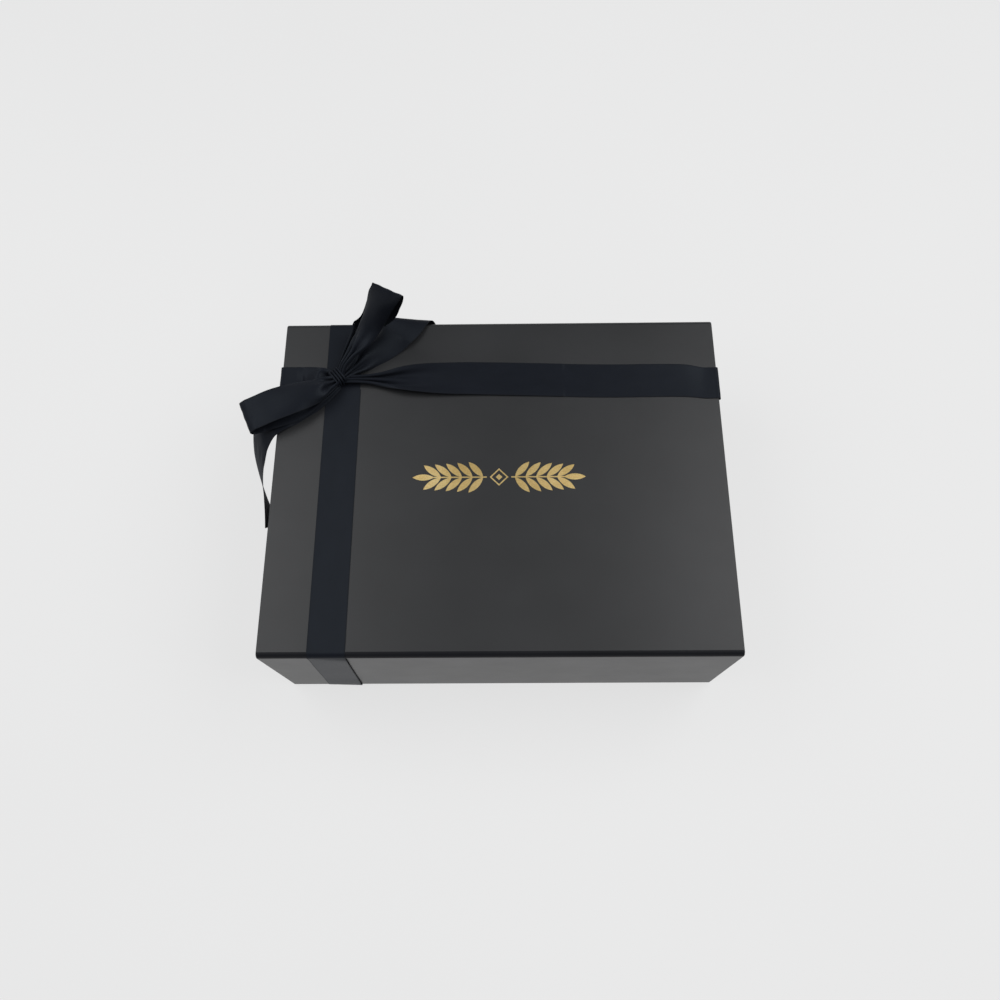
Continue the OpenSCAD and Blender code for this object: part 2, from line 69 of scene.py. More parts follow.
HALF_W = lid_high.x / MM
HALF_D = -flap_low.y / MM
LID_TOP = lid_high.z / MM
LID_UNDER = lid_low.z / MM
HINGE_LEVEL = flap_high.z / MM
HINGE_R = LID_TOP - HINGE_LEVEL
FOLD_Y = HALF_D - HINGE_R
RIBBON_W = (band_high.x - band_low.x) / MM
BAND_X = (band_low.x + band_high.x) / 2 / MM
FOOT_X = foot_low.x / MM + RIBBON_W / 2
SIDE_Y = (side_low.y + side_high.y) / 2 / MM
RIGHT_SIDE_Y = (right_side_low.y + right_side_high.y) / 2 / MM
KNOT_SHIFT = 4  # the knot lies this far left of the lengthwise ribbon's middle, in millimetres
KNOT = np.array([BAND_X - KNOT_SHIFT, SIDE_Y, LID_TOP])
LEFT_EDGE = np.array([-HALF_W, SIDE_Y, LID_TOP])
BACK_EDGE = np.array([BAND_X - KNOT_SHIFT, HALF_D, LID_TOP])

# ---- Sizes chosen here, in millimetres ----

PAPER_T = 0.25  # cover paper
TURN_IN = 4  # paper folded over a board's inner side
EDGE_R = 0.7  # a covered board's edges
FOLDED_END_R = 1.1  # a hinge paper's folded ends
PRESSED_EDGE = 0.25  # bevel of the solids' paper edges

CLOTH_T = 0.26  # satin
HALF_CLOTH = CLOTH_T / 2 + 0.03  # from a face to the middle of the satin laid on it
BASE_Z = 0.4  # the case stands on its ribbon, this far over the ground
FRONT_SWAY = 1.1  # how far the lengthwise ribbon lies left of its solid, in front of the knot
REAR_SWAY = 1.7  # and behind the knot
SIDE_BULGE = 1.3  # how far the crosswise ribbon stands off the lid's side edges

# ---- How the ribbons are divided and bent ----

COLUMNS = 41  # points across a ribbon
ROW_STEP = 0.9  # millimetres between two rows along it
MOST_ARCH = 2.0  # radians that an arch of 1 turns its edges down by, at most
MOST_SWING = 2.2  # radians of a pleat's steepest slope
PLEAT_ONSET = 4  # how suddenly pleats take over from the arch
HALVINGS = 20  # steps of the search for a bend
WOBBLE_ACROSS, WOBBLE_ALONG = 0.11, 0.07  # noise scale of the crumple, per column and per millimetre

# ---- Node helpers for materials ----

class Recipe:
    """A node material round one Principled shader, with short ways to add what feeds it."""

    def __init__(self, name):
        self.material = bpy.data.materials.new(name)
        self.material.use_nodes = True
        self.tree = self.material.node_tree
        self.shader = self.tree.nodes["Principled BSDF"]

    def node(self, kind, **settings):
        made = self.tree.nodes.new(kind)
        for key, value in settings.items():
            setattr(made, key, value)
        return made

    def feed(self, socket, value):
        """Links an output to a socket, or sets the socket's own value."""
        if isinstance(value, bpy.types.NodeSocket):
            self.tree.links.new(value, socket)
        else:
            socket.default_value = value

    def fixed(self, **values):
        """Sets the shader's own sockets; an underscore stands for a space."""
        for key, value in values.items():
            self.shader.inputs[key.replace("_", " ")].default_value = value

    def place(self):
        return self.node("ShaderNodeTexCoord").outputs["Object"]

    def flat_map(self):
        return self.node("ShaderNodeUVMap", uv_map="flat").outputs["UV"]

    def across_cloth(self):
        """Tangent across the flat cloth, the way in which its long threads spread a shine."""
        return self.node("ShaderNodeTangent", direction_type="UV_MAP", uv_map="flat").outputs["Tangent"]

    def scaled(self, vector, scale):
        mapping = self.node("ShaderNodeMapping")
        self.feed(mapping.inputs["Vector"], vector)
        mapping.inputs["Scale"].default_value = scale
        return mapping.outputs["Vector"]

    def noise(self, vector, scale, detail=3.0, roughness=0.55):
        made = self.node("ShaderNodeTexNoise")
        self.feed(made.inputs["Vector"], vector)
        made.inputs["Scale"].default_value = scale
        made.inputs["Detail"].default_value = detail
        made.inputs["Roughness"].default_value = roughness
        return made.outputs["Fac"]

    def maths(self, operation, a, b=0.0):
        made = self.node("ShaderNodeMath", operation=operation)
        self.feed(made.inputs[0], a)
        self.feed(made.inputs[1], b)
        return made.outputs[0]

    def ramp(self, factor, *stops):
        made = self.node("ShaderNodeValToRGB")
        self.feed(made.inputs["Fac"], factor)
        elements = made.color_ramp.elements
        while len(elements) < len(stops):
            elements.new(0.5)
        for element, (position, shade) in zip(elements, stops):
            element.position = position
            element.color = (*shade, 1) if hasattr(shade, "__len__") else (shade, shade, shade, 1)
        return made.outputs["Color"]

    def mix(self, factor, a, b):
        made = self.node("ShaderNodeMix", data_type="RGBA")
        self.feed(made.inputs["Factor"], factor)
        self.feed(made.inputs["A"], a if isinstance(a, bpy.types.NodeSocket) else (*a, 1))
        self.feed(made.inputs["B"], b if isinstance(b, bpy.types.NodeSocket) else (*b, 1))
        return made.outputs["Result"]

    def range(self, factor, low, high):
        """Maps a 0 to 1 output onto low to high."""
        made = self.node("ShaderNodeMapRange")
        self.feed(made.inputs["Value"], factor)
        made.inputs["To Min"].default_value = low
        made.inputs["To Max"].default_value = high
        return made.outputs["Result"]

    def bump(self, height, distance, strength=1.0, under=None):
        made = self.node("ShaderNodeBump")
        made.inputs["Strength"].default_value = strength
        made.inputs["Distance"].default_value = distance
        self.feed(made.inputs["Height"], height)
        if under is not None:
            self.feed(made.inputs["Normal"], under)
        return made.outputs["Normal"]


# ---- Materials ----

def coated_paper(name, dark, light, roughness, gloss):
    """Soft-touch laminated cover paper: fine grain over faint ripples of the board below."""
    m = Recipe(name)
    place = m.place()
    cloud = m.noise(place, 14, 2)
    grain = m.noise(place, 2600, 2, 0.6)
    tone = m.maths("ADD", m.maths("MULTIPLY", cloud, 0.7), m.maths("MULTIPLY", grain, 0.3))
    m.feed(m.shader.inputs["Base Color"], m.ramp(tone, (0.3, dark), (0.7, light)))
    smudge = m.noise(m.scaled(place, (1, 1.6, 1)), 38, 4, 0.6)
    m.feed(m.shader.inputs["Roughness"], m.range(smudge, roughness - 0.03, roughness + 0.04))
    ripple = m.bump(m.noise(place, 28, 1, 0.4), 0.0012, 0.05)
    m.feed(m.shader.inputs["Normal"], m.bump(grain, 0.00003, 0.25, ripple))
    m.fixed(IOR=1.46, Specular_IOR_Level=gloss)
    return m.material


def liner_paper(name):
    """Uncoated black paper with visible fibres."""
    m = Recipe(name)
    place = m.place()
    fibre = m.noise(m.scaled(place, (1, 0.25, 1)), 1500, 4, 0.7)
    cloud = m.noise(place, 20, 3)
    tone = m.maths("ADD", m.maths("MULTIPLY", fibre, 0.5), m.maths("MULTIPLY", cloud, 0.5))
    m.feed(m.shader.inputs["Base Color"],
           m.ramp(tone, (0.35, (0.018, 0.0185, 0.020)), (0.68, (0.036, 0.0365, 0.038))))
    m.feed(m.shader.inputs["Roughness"], m.range(fibre, 0.72, 0.88))
    m.feed(m.shader.inputs["Normal"], m.bump(fibre, 0.00006, 0.35))
    m.fixed(IOR=1.4)
    return m.material


def dyed_board(name):
    """Black solid board: dyed pulp with paler flecks and a rough cut face."""
    m = Recipe(name)
    place = m.place()
    pulp = m.noise(place, 420, 5, 0.65)
    fleck = m.noise(place, 1900, 2, 0.5)
    tone = m.maths("ADD", m.maths("MULTIPLY", pulp, 0.65), m.maths("MULTIPLY", fleck, 0.35))
    shades = m.ramp(tone, (0.3, (0.012, 0.012, 0.013)), (0.52, (0.024, 0.024, 0.026)),
                    (0.75, (0.048, 0.047, 0.047)))
    m.feed(m.shader.inputs["Base Color"], shades)
    m.feed(m.shader.inputs["Roughness"], m.range(pulp, 0.82, 0.95))
    m.feed(m.shader.inputs["Normal"], m.bump(tone, 0.0002, 0.5))
    return m.material


def satin(name):
    """Black satin: long floats that spread their shine across the ribbon, and a close selvedge."""
    m = Recipe(name)
    flat = m.flat_map()
    across = m.node("ShaderNodeSeparateXYZ")
    m.feed(across.inputs["Vector"], flat)
    threads = m.noise(m.scaled(flat, (9000, 900, 1)), 1, 2, 0.5)
    slubs = m.noise(m.scaled(flat, (1500, 110, 1)), 1, 3, 0.6)
    soft = m.noise(m.scaled(flat, (90, 45, 1)), 1, 3, 0.5)
    from_middle = m.maths("ABSOLUTE", m.maths("SUBTRACT", across.outputs["X"], RIBBON_W * MM / 2))
    selvedge_w = 0.7  # millimetres
    selvedge = m.maths("GREATER_THAN", from_middle, (RIBBON_W / 2 - selvedge_w) * MM)
    tone = m.maths("ADD", m.maths("MULTIPLY", threads, 0.45),
                   m.maths("ADD", m.maths("MULTIPLY", slubs, 0.25), m.maths("MULTIPLY", soft, 0.3)))
    weave = m.ramp(tone, (0.3, (0.0048, 0.0056, 0.0082)), (0.7, (0.0082, 0.0095, 0.0138)))
    m.feed(m.shader.inputs["Base Color"], m.mix(selvedge, weave, (0.0075, 0.0082, 0.0110)))
    m.feed(m.shader.inputs["Roughness"],
           m.maths("ADD", m.range(slubs, 0.50, 0.60), m.maths("MULTIPLY", selvedge, 0.10)))
    m.feed(m.shader.inputs["Normal"], m.bump(tone, 0.00005, 0.35))
    m.feed(m.shader.inputs["Tangent"], m.across_cloth())
    m.fixed(IOR=1.45, Specular_IOR_Level=0.16, Specular_Tint=(0.78, 0.9, 1.0, 1), Anisotropic=0.7)
    m.fixed(Sheen_Weight=0.02, Sheen_Roughness=0.4, Sheen_Tint=(0.55, 0.62, 0.85, 1))
    return m.material


def gold_foil(name):
    """Hot-stamped foil: pale gold with faint mottling where it took to the paper's grain."""
    m = Recipe(name)
    place = m.place()
    mottle = m.noise(place, 900, 4, 0.6)
    drift = m.noise(place, 35, 2)
    tone = m.maths("ADD", m.maths("MULTIPLY", mottle, 0.45), m.maths("MULTIPLY", drift, 0.55))
    m.feed(m.shader.inputs["Base Color"],
           m.ramp(tone, (0.32, (0.62, 0.42, 0.14)), (0.55, (0.83, 0.62, 0.27)), (0.72, (0.93, 0.77, 0.42))))
    m.feed(m.shader.inputs["Roughness"], m.range(mottle, 0.24, 0.4))
    m.feed(m.shader.inputs["Normal"], m.bump(mottle, 0.00002, 0.3))
    m.fixed(Metallic=1.0)
    return m.material


def plated_metal(name, dark, light, roughness):
    """Plated magnet or stamped steel disc, with fine turning marks."""
    m = Recipe(name)
    place = m.place()
    marks = m.noise(m.scaled(place, (1, 1, 9)), 700, 3, 0.6)
    m.feed(m.shader.inputs["Base Color"], m.ramp(marks, (0.3, dark), (0.7, light)))
    m.feed(m.shader.inputs["Roughness"], m.range(marks, roughness - 0.06, roughness + 0.08))
    m.feed(m.shader.inputs["Normal"], m.bump(marks, 0.00003, 0.3))
    m.fixed(Metallic=1.0)
    return m.material


def floor_panel(name):
    """Pale light table: an acrylic sheet lit from below, so that shadows on it are faint."""
    m = Recipe(name)
    cloud = m.noise(m.place(), 1.5, 2)
    m.feed(m.shader.inputs["Base Color"], m.ramp(cloud, (0.2, 0.125), (0.8, 0.135)))
    m.feed(m.shader.inputs["Emission Color"], m.ramp(cloud, (0.2, 0.672), (0.8, 0.684)))
    m.fixed(Roughness=0.9, IOR=1.2, Emission_Strength=1.0)
    return m.material


cover = coated_paper("cover_paper", (0.0125, 0.0130, 0.0140), (0.0180, 0.0186, 0.0200), 0.4, 0.43)
# A darker, less glossy copy of the cover paper: painted shade for the groove along the lid's front hinge.
shaded_hinge_paper = coated_paper(
    "hinge_paper_painted_shade", (0.0040, 0.0044, 0.0058), (0.0068, 0.0072, 0.0092), 0.5, 0.16)
liner = liner_paper("liner_paper")
board = dyed_board("dyed_board")
ribbon_satin = satin("ribbon_satin")
foil = gold_foil("gold_foil")
steel = plated_metal("steel_disc", (0.42, 0.43, 0.45), (0.60, 0.61, 0.63), 0.38)
nickel = plated_metal("magnet_nickel", (0.55, 0.54, 0.51), (0.74, 0.73, 0.69), 0.24)


# ---- Mesh helpers ----

def soften_edges(obj):
    """A small bevel, so that the pressed edges of paper catch the light."""
    bevel = obj.modifiers.new("pressed_edges", "BEVEL")
    bevel.width = PRESSED_EDGE * MM
    bevel.segments = 3
    bevel.limit_method = "ANGLE"
    bevel.angle_limit = math.radians(50)
    bevel.harden_normals = True


def dress(mesh, material):
    """Gives a mesh one material in place of what it has."""
    mesh.materials.clear()
    mesh.materials.append(material)


def add_object(name, mesh, material):
    dress(mesh, material)
    obj = bpy.data.objects.new(name, mesh)
    bpy.context.scene.collection.objects.link(obj)
    return obj


def apply_modifiers(obj):
    """Turns a piece and its modifiers into plain mesh."""
    graph = bpy.context.evaluated_depsgraph_get()
    made = bpy.data.meshes.new_from_object(obj.evaluated_get(graph), depsgraph=graph)
    obj.modifiers.clear()
    obj.data = made


def thicken(obj, thickness, offset):
    """Gives a surface its thickness in millimetres; offset -1 grows it away from its normals."""
    solid = obj.modifiers.new("thickness", "SOLIDIFY")
    solid.thickness = thickness * MM
    solid.offset = offset
    solid.use_even_offset = True
    bpy.context.view_layer.update()
    apply_modifiers(obj)


def shade(obj, angle_deg):
    """Smooth shading that breaks at edges sharper than the angle."""
    obj.data.shade_smooth()
    obj.data.set_sharp_from_angle(angle=math.radians(angle_deg))


# ---- Ribbons: a pleated section swept along a route ----

def unit(vector):
    return vector / np.linalg.norm(vector)


def arc(centre, radius, start_deg, end_deg, count):
    """Points (across, up) on an arc."""
    angles = np.radians(np.linspace(start_deg, end_deg, count))
    return [(centre[0] + radius * math.cos(a), centre[1] + radius * math.sin(a)) for a in angles]


def smooth_rows(stations, step):
    """Rows of numbers about one step apart, on smooth curves through the stations.

    The curves are centripetal Catmull-Rom ones, which don't overshoot where the stations are uneven.
    """
    stations = np.array(stations, float)
    padded = np.vstack([2 * stations[0] - stations[1], stations, 2 * stations[-1] - stations[-2]])
    rows = []
    for a, b, c, d in zip(padded, padded[1:], padded[2:], padded[3:]):
        steps = (b - a, c - b, d - c)
        gaps = [max(float(np.linalg.norm(gap[:3])), 1e-3) ** 0.5 for gap in steps]
        ta, tb, tc, td = np.cumsum([0, *gaps])
        count = max(2, round(float(np.linalg.norm(c[:3] - b[:3])) / step))
        for t in tb + (tc - tb) * np.arange(count) / count:
            ab = ((tb - t) * a + (t - ta) * b) / (tb - ta)
            bc = ((tc - t) * b + (t - tb) * c) / (tc - tb)
            cd = ((td - t) * c + (t - tc) * d) / (td - tc)
            abc = ((tc - t) * ab + (t - ta) * bc) / (tc - ta)
            bcd = ((td - t) * bc + (t - tb) * cd) / (td - tb)
            rows.append(((tc - t) * abc + (t - tb) * bcd) / (tc - tb))
    rows.append(stations[-1])
    return np.array(rows)


def ribbon_section(chord, arch, lean, folds, phase):
    """How far across and how high each column of a ribbon lies, in millimetres.

    The section keeps its flat length. A chord under the ribbon's width bends it into an arch, whose edges
    turn down where arch is positive, by at most MOST_ARCH times arch. As the arch comes near that bend,
    more and more of the width goes into pleats. Lean tightens the arch towards one edge. A chord over
    the width is the slanting section of a ribbon that is bent askew, and stays straight.
    """
    s = np.linspace(0, 1, COLUMNS)
    middle = (s[1:] + s[:-1]) / 2
    run = (1 - 2 * middle ** 2 ** lean) if lean >= 0 else (2 * (1 - middle) ** 2 ** -lean - 1)
    wave = np.sin(2 * math.pi * folds * middle + phase)

    def laid(turn, swing):
        angle = math.copysign(1, arch) * turn * run + swing * wave
        steps = np.array([np.cos(angle), np.sin(angle)]) * max(RIBBON_W, chord) / (COLUMNS - 1)
        points = np.hstack([[[0], [0]], np.cumsum(steps, 1)])
        tilt = math.atan2(points[1, -1], points[0, -1])
        c, k = math.cos(tilt), math.sin(tilt)
        return np.array([points[0] * c + points[1] * k, points[1] * c - points[0] * k])

    def solved(shape, most, goal):
        """Least bend, up to the most that is allowed, which brings the two edges this near."""
        low, high = 0.0, most
        for _ in range(HALVINGS):
            tried = (low + high) / 2
            if shape(tried)[0, -1] > goal:
                low = tried
            else:
                high = tried
        return high

    spare = RIBBON_W - chord
    turn = swing = 0
    if spare > 0.01:
        most_turn = abs(arch) * MOST_ARCH
        room = RIBBON_W - laid(most_turn, 0)[0, -1]
        pleated = spare ** (PLEAT_ONSET + 1) / (spare ** PLEAT_ONSET + room ** PLEAT_ONSET)
        turn = solved(lambda value: laid(value, 0), most_turn, chord + pleated) if arch else 0
        swing = solved(lambda value: laid(turn, value), MOST_SWING, chord)
    points = laid(turn, swing)
    points[0] -= points[0, -1] / 2
    return points


def ribbon(name, stations, folds=1.5, phase=0.0, crumple=0.0, seed=0.0, rests=False):
    """A sheet of satin through stations (x, y, z, across x, y, z, chord, arch, lean), in millimetres.

    The stations lie in the middle of the section's height or, where the ribbon rests on something, at
    its lowest.
    """
    rows = smooth_rows(stations, ROW_STEP)
    centre = rows[:, :3]
    along = np.gradient(centre, axis=0)
    travelled = np.concatenate([[0], np.cumsum(np.linalg.norm(np.diff(centre, axis=0), axis=1))])
    points = []
    for i, row in enumerate(rows):
        across = unit(row[3:6])
        up = unit(np.cross(along[i], across))
        c, h = ribbon_section(row[6], row[7], row[8], folds, phase)
        h = h - h.min() if rests else h - h.mean()
        for k in range(COLUMNS):
            p = centre[i] + across * c[k] + up * h[k]
            if crumple:
                at = Vector((k * WOBBLE_ACROSS + seed, travelled[i] * WOBBLE_ALONG, seed))
                wobble = noise.noise(at)
                p = p + up * crumple * wobble
            points.append(p * MM)
    count = len(rows)
    faces = [(i * COLUMNS + k, i * COLUMNS + k + 1, (i + 1) * COLUMNS + k + 1, (i + 1) * COLUMNS + k)
             for i in range(count - 1) for k in range(COLUMNS - 1)]
    mesh = bpy.data.meshes.new(name)
    mesh.from_pydata(points, [], faces)
    flat = mesh.uv_layers.new(name="flat")
    for loop in mesh.loops:
        i, k = divmod(loop.vertex_index, COLUMNS)
        flat.data[loop.index].uv = (k / (COLUMNS - 1) * RIBBON_W * MM, travelled[i] * MM)
    obj = add_object(name, mesh, ribbon_satin)
    thicken(obj, CLOTH_T, 0)
    shade(obj, 50)
    obj["flat_length"] = float(travelled[-1]) * MM
    return obj


def lid_ribbon(name, stations, held, rests_on, solids=(), **look):
    """A ribbon that rides on the lid and stands for the solids named."""
    made = ribbon(name, stations, **look)
    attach(made, "lid")
    if solids:
        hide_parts(*solids)


def from_point(origin, *stations):
    """Stations written from an origin, with arch and lean zero where they are left out."""
    made = []
    for s in stations:
        s = list(s) + [0.0] * (9 - len(s))
        made.append([*(origin + np.array(s[:3])), *s[3:]])
    return made


# ---- Paper skins of the covered boards ----

def paper_skin(name, low, high, open_sides, window):
    """Paper wrapped round a board: rounded edges, open sides, and a window where the liner is glued.

    Sides are names such as "+y". The window is (side, margins low, margins high) on the inner side.
    """
    sides = {"-y": (0, -1, 0), "+y": (0, 1, 0), "-z": (0, 0, -1), "+z": (0, 0, 1)}
    low, high = Vector(low) * MM, Vector(high) * MM
    bm = bmesh.new()
    bmesh.ops.create_cube(bm, size=1)
    for v in bm.verts:
        v.co = Vector([low[k] if v.co[k] < 0 else high[k] for k in range(3)])
    bm.normal_update()

    def facing(side):
        axis = Vector(sides[side])
        return [f for f in bm.faces if f.normal.dot(axis) > 0.99]

    bmesh.ops.delete(bm, geom=[f for side in open_sides for f in facing(side)], context="FACES_ONLY")
    inner_edges = [e for e in bm.edges if len(e.link_faces) == 2]
    bmesh.ops.bevel(bm, geom=inner_edges, offset=EDGE_R * MM, segments=5, profile=0.5, affect="EDGES")

    side, from_low, from_high = window
    normal = Vector(sides[side])
    flat_axes = [k for k in range(3) if abs(normal[k]) < 0.5]
    limits = {k: (low[k] + from_low[n] * MM, high[k] - from_high[n] * MM) for n, k in enumerate(flat_axes)}
    for k in flat_axes:
        for limit in limits[k]:
            faces = facing(side)
            geometry = faces + [e for f in faces for e in f.edges] + [v for f in faces for v in f.verts]
            at = Vector((0, 0, 0))
            at[k] = limit
            direction = Vector((0, 0, 0))
            direction[k] = 1
            bmesh.ops.bisect_plane(bm, geom=list(set(geometry)), plane_co=at, plane_no=direction)

    def in_window(face):
        middle = face.calc_center_median()
        return all(limits[k][0] < middle[k] < limits[k][1] for k in flat_axes)

    bmesh.ops.delete(bm, geom=[f for f in facing(side) if in_window(f)], context="FACES")
    mesh = bpy.data.meshes.new(name)
    bm.to_mesh(mesh)
    bm.free()
    obj = add_object(name, mesh, cover)
    thicken(obj, PAPER_T, -1)
    shade(obj, 40)
    weighted = obj.modifiers.new("even_normals", "WEIGHTED_NORMAL")
    weighted.keep_sharp = True
    return obj


def hinge_paper(name, front, material):
    """The doubled paper that bends round an edge of the lid, with its ends folded in."""
    sign = -1 if front else 1
    plain_end = 6  # the evenly spaced columns start this far from each end
    drop_share = 0.6  # how far the folded ends round inwards, as a share of their radius
    end_xs = [FOLDED_END_R * (1 - math.sin(math.radians(a))) for a in range(0, 91, 15)]
    xs = sorted({-HALF_W + x for x in end_xs}
                | set(np.linspace(-HALF_W + plain_end, HALF_W - plain_end, 40))
                | {HALF_W - x for x in end_xs})
    points, faces = [], []
    arcs = arc((0, 0), 1, 90, 0, 33)
    for x in xs:
        near = max(0.0, abs(x) - (HALF_W - FOLDED_END_R)) / FOLDED_END_R
        radius = HINGE_R - FOLDED_END_R * (1 - math.sqrt(max(0.0, 1 - near ** 2))) * drop_share
        for c, s in arcs:
            points.append(Vector((x, sign * (FOLD_Y + radius * c), HINGE_LEVEL + radius * s)) * MM)
    n = len(arcs)
    for i in range(len(xs) - 1):
        for k in range(n - 1):
            quad = (i * n + k, i * n + k + 1, (i + 1) * n + k + 1, (i + 1) * n + k)
            faces.append(quad if front else quad[::-1])
    mesh = bpy.data.meshes.new(name)
    mesh.from_pydata(points, [], faces)
    mesh.update()
    outwards = Vector((0, sign, 1)).dot(mesh.polygons[len(mesh.polygons) // 2].normal)
    if outwards < 0:
        mesh.flip_normals()
    obj = add_object(name, mesh, material)
    thicken(obj, 2 * PAPER_T, -1)
    shade(obj, 50)
    return obj


# ---- Cover papers ----

PAST = -1  # a margin that takes the window past an open side

lid_wrap = paper_skin(
    "lid_wrap", (-HALF_W, -FOLD_Y, LID_UNDER), (HALF_W, FOLD_Y, LID_TOP), ["-y", "+y"],
    ("-z", (TURN_IN, PAST), (TURN_IN, PAST)))
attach(lid_wrap, "lid")
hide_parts("lid_cover_paper")

flap_wrap = paper_skin(
    "flap_wrap", (-HALF_W, -HALF_D, flap_low.z / MM), (HALF_W, flap_high.y / MM, HINGE_LEVEL), ["+z"],
    ("+y", (TURN_IN, TURN_IN), (TURN_IN, PAST)))
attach(flap_wrap, "flap")
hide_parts("flap_cover_paper")

# The front hinge takes the darker copy of the cover paper, which is painted shade.
front_hinge = hinge_paper("front_hinge_wrap", True, shaded_hinge_paper)
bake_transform(front_hinge)
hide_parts("front_hinge_paper")

rear_hinge = hinge_paper("rear_hinge_wrap", False, cover)
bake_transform(rear_hinge)
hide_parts("rear_hinge_paper")

for node, material in {
    "base_cover_paper": cover, "tray_wrap_paper": cover,
    "tray_wall_liner": liner, "tray_floor_liner": liner, "lid_liner": liner, "flap_liner": liner,
    "foil_ornament": foil, "keeper_discs": steel, "flap_magnets": nickel,
}.items():
    dress(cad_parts[node].data, material)
    if material is cover:
        soften_edges(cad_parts[node])
for node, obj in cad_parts.items():
    if node.endswith(("_board", "_wall")) or node == "tray_floor":
        dress(obj.data, board)


# ---- Lengthwise ribbon ----

def level(x, y, z):
    """A station of a ribbon that runs along Y, or round an edge that lies along X."""
    return [x, y, z, 1, 0, 0, RIBBON_W, 0, 0]


def front_band():
    """From under the knot, over the lid's front edge, down the flap and up inside it."""
    ring = arc((-FOLD_Y, HINGE_LEVEL), -(HINGE_R + HALF_CLOTH), 270, 360, 9)
    low = flap_low.z / MM - HALF_CLOTH
    inner = flap_high.y / MM + HALF_CLOTH
    drop = [BAND_X + (FOOT_X - BAND_X) * k for k in (0.14, 0.4, 0.75, 1)]
    levels = [HINGE_LEVEL - (HINGE_LEVEL - low - 1.2) * k for k in (0.03, 0.3, 0.7, 1)]
    x = BAND_X - FRONT_SWAY
    stations = [level(x, y, LID_TOP + HALF_CLOTH) for y in (SIDE_Y - 6, 20, -40, -100)]
    stations += [level(x, y, z) for y, z in ring]
    # Down the flap the right edge stands a little off the paper
    off, slant = 0.3, -0.025
    face = -HALF_D - HALF_CLOTH - off
    stations += [[x, face, z, 1, slant, 0, RIBBON_W, 0, 0] for x, z in zip(drop, levels)]
    stations += [level(FOOT_X, y, low) for y in (-HALF_D + 0.3, (inner - HALF_D) / 2, inner - 0.3)]
    stations += [level(FOOT_X, inner, low + up) for up in (1, 15)]
    return stations


front = ribbon("ribbon_lengthwise_front", front_band(), crumple=0.05, seed=1.3)
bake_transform(front)
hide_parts("ribbon_front_bend", "ribbon_flap", "ribbon_lid_lengthwise")


def rear_band():
    """From under the knot, over the lid's back edge, down the spine and under the base to the front."""
    x = BAND_X - REAR_SWAY
    top = [level(x, y, LID_TOP + HALF_CLOTH) for y in (SIDE_Y - 6, SIDE_Y + 14, FOLD_Y - 8)]
    upper = arc((FOLD_Y, HINGE_LEVEL), HINGE_R + HALF_CLOTH, 90, 0, 9)
    lower = arc((FOLD_Y, HINGE_R + BASE_Z), HINGE_R + HALF_CLOTH, 0, -90, 9)
    under = BASE_Z - HALF_CLOTH
    stations = top + [level(x, y, z) for y, z in upper]
    stations += [level(x, HALF_D + HALF_CLOTH, z) for z in (80, 40, 12)]
    stations += [level(x, y, z) for y, z in lower]
    # Under the base the ribbon drifts over to where the flap's stretch ends
    stations += [level(x + (FOOT_X - x) * k, FOLD_Y * (1 - 2 * k), under) for k in (0.1, 0.5, 0.9, 0.998)]
    return stations


rear = ribbon("ribbon_lengthwise_rear", rear_band(), crumple=0.04, seed=4.1)
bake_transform(rear)
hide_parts("ribbon_rear_bend", "ribbon_back", "ribbon_base_lengthwise")


# ---- Crosswise ribbon ----

def side_wrap(side, y):
    """Stations round the lid's side edge, from the tuck under it to the top; across runs along Y."""
    below, above = LID_UNDER - HALF_CLOTH, LID_TOP + HALF_CLOTH
    places = [(-12, below - 0.05), (-2, below - 0.1), (0.3, below - 0.05),
              (SIDE_BULGE - 0.2, LID_UNDER + 0.5), (SIDE_BULGE, (LID_UNDER + LID_TOP) / 2),
              (SIDE_BULGE - 0.2, LID_TOP - 0.4),
              (0.3, above + 0.3), (-2, above + 0.3), (-10, above + 0.25)]
    return [[side * (HALF_W + x), y, z, 0, -side, 0, RIBBON_W, 0, 0] for x, z in places]


def crosswise_right():
    """Stations from the lid's right edge to the knot, where the ribbon gathers with its edges turned up."""
    plan = [  # x and y from the knot, height over the lid, lift of the far edge per mm, chord, arch
        (250, -1.7, 1.3, 0.09, RIBBON_W, 0),
        (190, -1.6, 1.8, 0.13, RIBBON_W, 0),
        (130, 0.2, 1.7, 0.12, 24.95, -0.2),
        (95, 1.0, 1.6, 0.1, 24.8, -0.3),
        (75, 0.9, 1.2, 0.07, 24.2, -0.4),
        (60, 0.7, 0.8, 0.03, 22.6, -0.5),
        (46, 0.2, 0.4, 0, 19, -0.65),
        (31, 0.4, 0.4, 0, 12, -0.65),
        (22, 0.5, 0.6, 0, 7.4, -0.5),
        (12, 0.4, 1.0, 0, 5.4, -0.35),
        (3, 0, 1.4, 0, 5, -0.2),
    ]
    return side_wrap(1, RIGHT_SIDE_Y) + [
        [KNOT[0] + x, KNOT[1] + y, LID_TOP + HALF_CLOTH + z, 0, -1, -lift, *shape, 0]
        for x, y, z, lift, *shape in plan]


def crosswise_left():
    """Stations from the lid's left edge to the knot."""
    plan = [  # x and y from the knot, height over the lid, chord, arch, lean
        (-28, 0, 0.2, 24.9, 0, 0),
        (-22, 0.3, 0.4, 24.2, 0.4, 0),
        (-16, 1, 0.8, 21.5, 0.6, 0),
        (-11, 2.7, 1.3, 16.5, 0.6, 0),
        (-6, 3.6, 1.6, 10, 0.4, 0),
        (-2, 2.3, 1.7, 7, 0.2, 0),
        (2, 1, 1.7, 6, 0.2, 0),
    ]
    return side_wrap(-1, SIDE_Y) + [
        [KNOT[0] + x, KNOT[1] + y, LID_TOP + HALF_CLOTH + z, 0, 1, 0, *shape] for x, y, z, *shape in plan]


